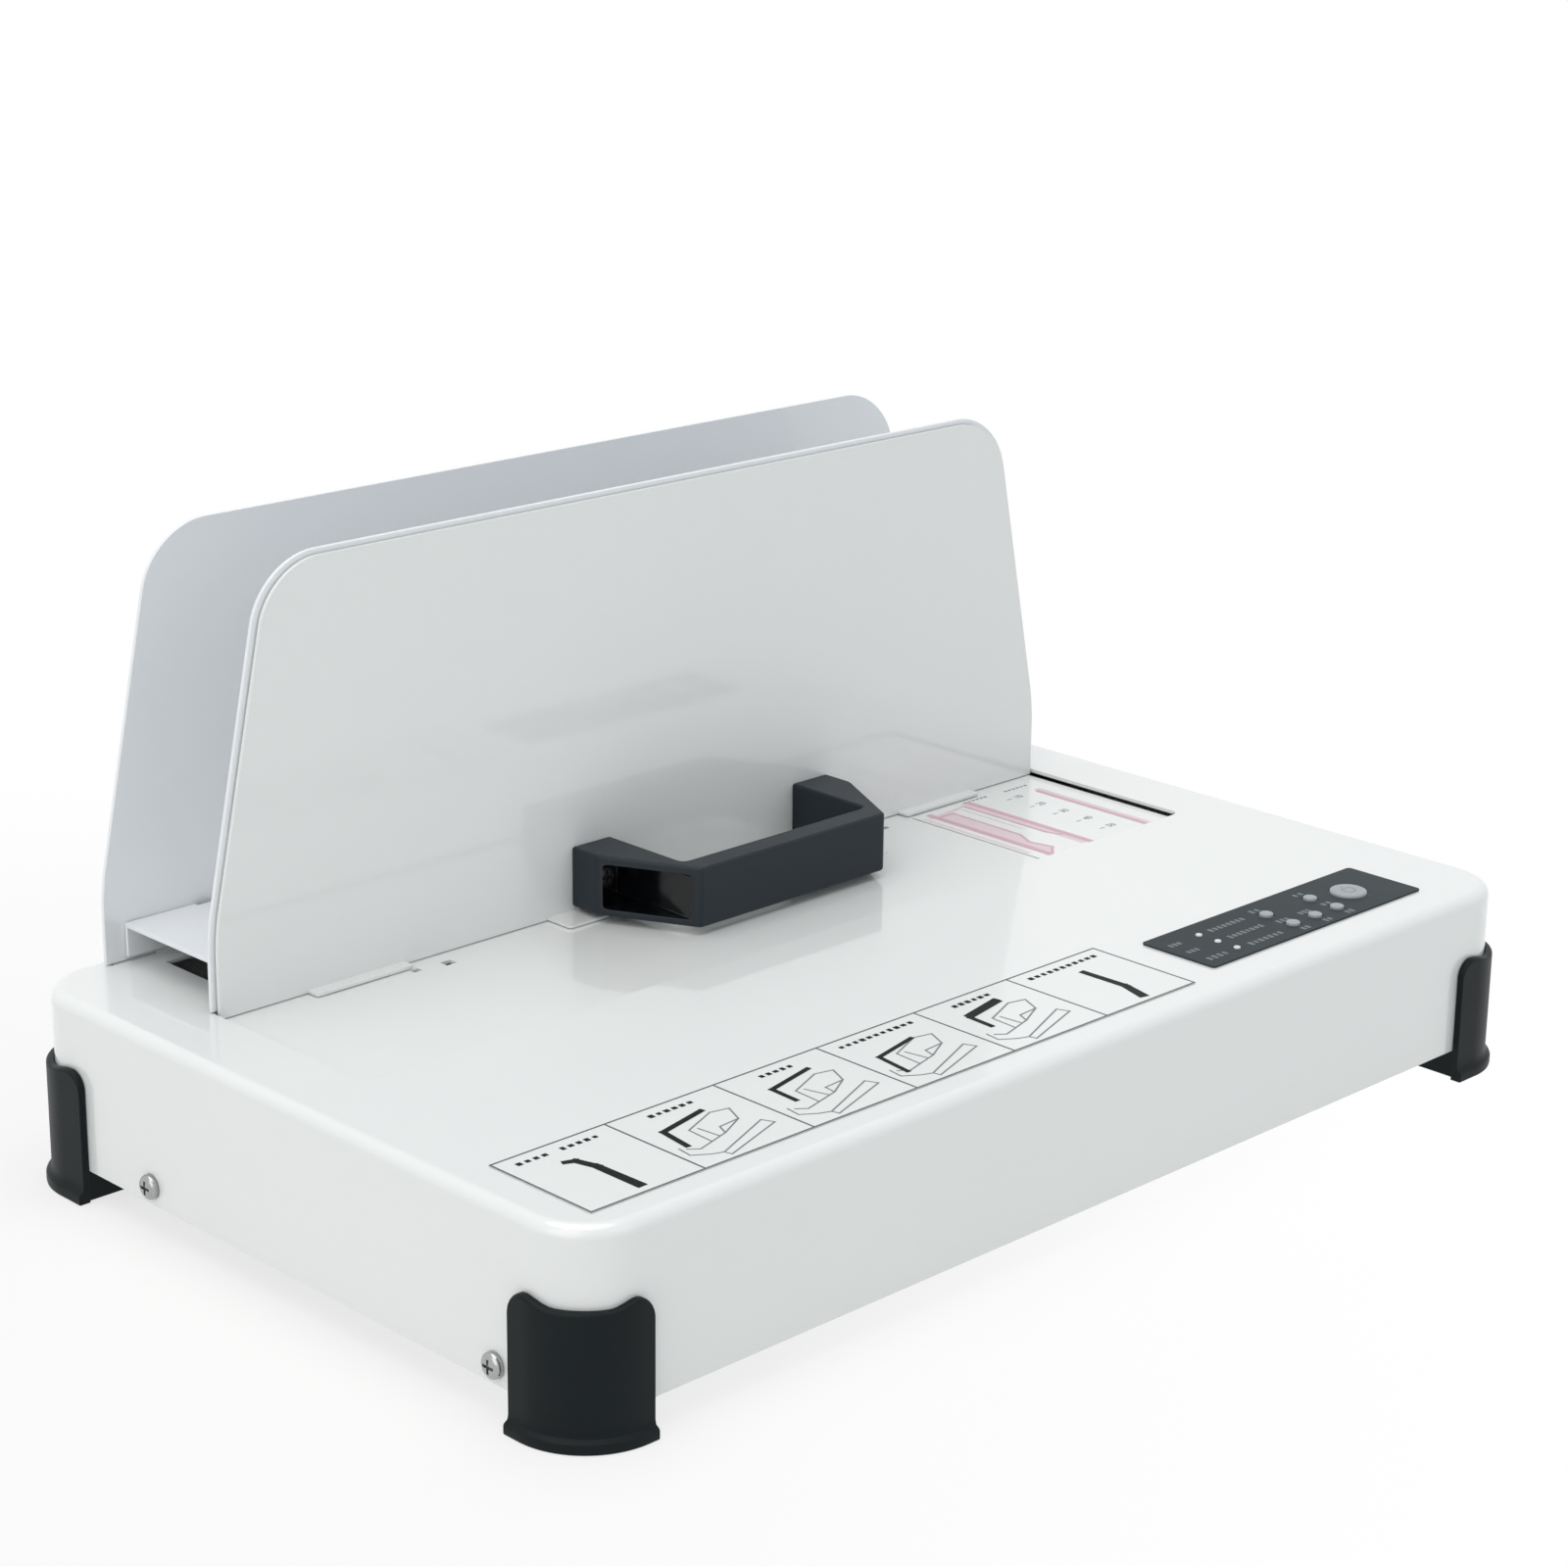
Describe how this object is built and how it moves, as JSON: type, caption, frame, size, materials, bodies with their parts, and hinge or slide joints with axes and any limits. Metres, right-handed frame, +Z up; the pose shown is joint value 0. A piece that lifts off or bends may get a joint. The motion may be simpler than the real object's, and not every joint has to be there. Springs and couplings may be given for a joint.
{
  "type": "thermal binding machine",
  "caption": "Desktop thermal binding machine: low white housing on rubber corner feet, sliding clamp plate with a bridge handle, cooling rack behind, key panel at the right.",
  "frame": {"origin": "on the table, under the middle of the four feet's outline", "axes": "+X to the user's right along the front edge, +Y from the front to the rack at the back, +Z up"},
  "size_m": [0.385, 0.241, 0.1805],
  "materials": {
    "white_paint": "gloss white powder coat",
    "black_rubber": "matte moulded rubber",
    "black_plastic": "fine-grained black plastic",
    "panel_film": "satin printed film",
    "key_plastic": "satin",
    "label_film": "printed film",
    "bright_screw": "nickel plated",
    "zinc": "zinc-plated sheet",
    "ground_steel": "ground",
    "spring_steel": "drawn wire",
    "slide_plastic": "natural acetal",
    "aluminium": "mill finish",
    "silicone": "silicone heater mat",
    "mineral_board": "compressed mineral fibre",
    "ceramic": "ceramic and zinc",
    "circuit_board": "solder resist",
    "coil": "laminated core and taped coil",
    "relay_blue": "moulded",
    "rocker_red": "moulded",
    "lead_brown": "insulated wire",
    "lead_red": "insulated wire",
    "ribbon_grey": "flat cable"
  },
  "bodies": {
    "base": {"top_housing": "white_paint", "middle_plate": "white_paint", "rear_plate": "white_paint", "rack_floor": "white_paint", "foot_front_left": "black_rubber", "foot_front_right": "black_rubber", "foot_rear_left": "black_rubber", "foot_rear_right": "black_rubber", "power_inlet": "black_plastic", "rocker_switch": "black_plastic", "buzzer": "black_plastic", "panel_overlay": "panel_film", "instruction_label": "label_film", "side_screw_left_front": "bright_screw", "side_screw_left_rear": "bright_screw", "side_screw_right_front": "bright_screw", "side_screw_right_rear": "bright_screw", "bottom_pan": "zinc", "side_bracket_left": "zinc", "side_bracket_right": "zinc", "heater_tray": "zinc", "leg_screw_left": "zinc", "leg_screw_right": "zinc", "tray_screw_left": "zinc", "tray_screw_right": "zinc", "guide_rod_left": "ground_steel", "guide_rod_right": "ground_steel", "temperature_probe": "ground_steel", "return_spring_left": "spring_steel", "return_spring_right": "spring_steel", "heating_plate": "aluminium", "heater_strip_front": "silicone", "heater_strip_rear": "silicone", "insulation_board": "mineral_board", "thermostat": "ceramic", "control_board": "circuit_board", "power_board": "circuit_board", "transformer": "coil", "relay": "relay_blue", "live_lead": "lead_brown", "neutral_lead": "lead_brown", "heater_lead_front": "lead_red", "heater_lead_rear": "lead_red", "ribbon_cable": "ribbon_grey"},
    "clamp": {"slide_deck": "white_paint", "clamp_plate": "white_paint", "handle": "black_plastic", "handle_screw_left": "zinc", "handle_screw_right": "zinc", "slide_block_left": "slide_plastic", "slide_block_right": "slide_plastic", "ruler_label": "label_film"},
    "power_key": {"power_key": "key_plastic"},
    "temperature_key": {"temperature_key": "key_plastic"},
    "time_key": {"time_key": "key_plastic"},
    "minus_key": {"minus_key": "key_plastic"},
    "plus_key": {"plus_key": "key_plastic"},
    "start_key": {"start_key": "key_plastic"},
    "rocker": {"rocker": "rocker_red"}
  },
  "joints": [
    {"name": "clamp_slide", "type": "slide", "parent": "base", "child": "clamp", "axis": [0, -1, 0], "range_m": [0, 0.05], "stiffness_N_per_m": 110, "springref_m": -0.03, "deforming": ["return_spring_left", "return_spring_right"]},
    {"name": "power_key_press", "type": "slide", "parent": "base", "child": "power_key", "axis": [0, 0, -1], "range_m": [0, 0.0005], "stiffness_N_per_m": 1000, "springref_m": -0.001},
    {"name": "temperature_key_press", "type": "slide", "parent": "base", "child": "temperature_key", "axis": [0, 0, -1], "range_m": [0, 0.0005], "stiffness_N_per_m": 1000, "springref_m": -0.001},
    {"name": "time_key_press", "type": "slide", "parent": "base", "child": "time_key", "axis": [0, 0, -1], "range_m": [0, 0.0005], "stiffness_N_per_m": 1000, "springref_m": -0.001},
    {"name": "minus_key_press", "type": "slide", "parent": "base", "child": "minus_key", "axis": [0, 0, -1], "range_m": [0, 0.0005], "stiffness_N_per_m": 1000, "springref_m": -0.001},
    {"name": "plus_key_press", "type": "slide", "parent": "base", "child": "plus_key", "axis": [0, 0, -1], "range_m": [0, 0.0005], "stiffness_N_per_m": 1000, "springref_m": -0.001},
    {"name": "start_key_press", "type": "slide", "parent": "base", "child": "start_key", "axis": [0, 0, -1], "range_m": [0, 0.0005], "stiffness_N_per_m": 1000, "springref_m": -0.001},
    {"name": "rocker_tilt", "type": "hinge", "parent": "base", "child": "rocker", "pos_m": [-0.062, 0.1158, 0.0332], "axis": [1, 0, 0], "range_deg": [-16, 0]}
  ]
}
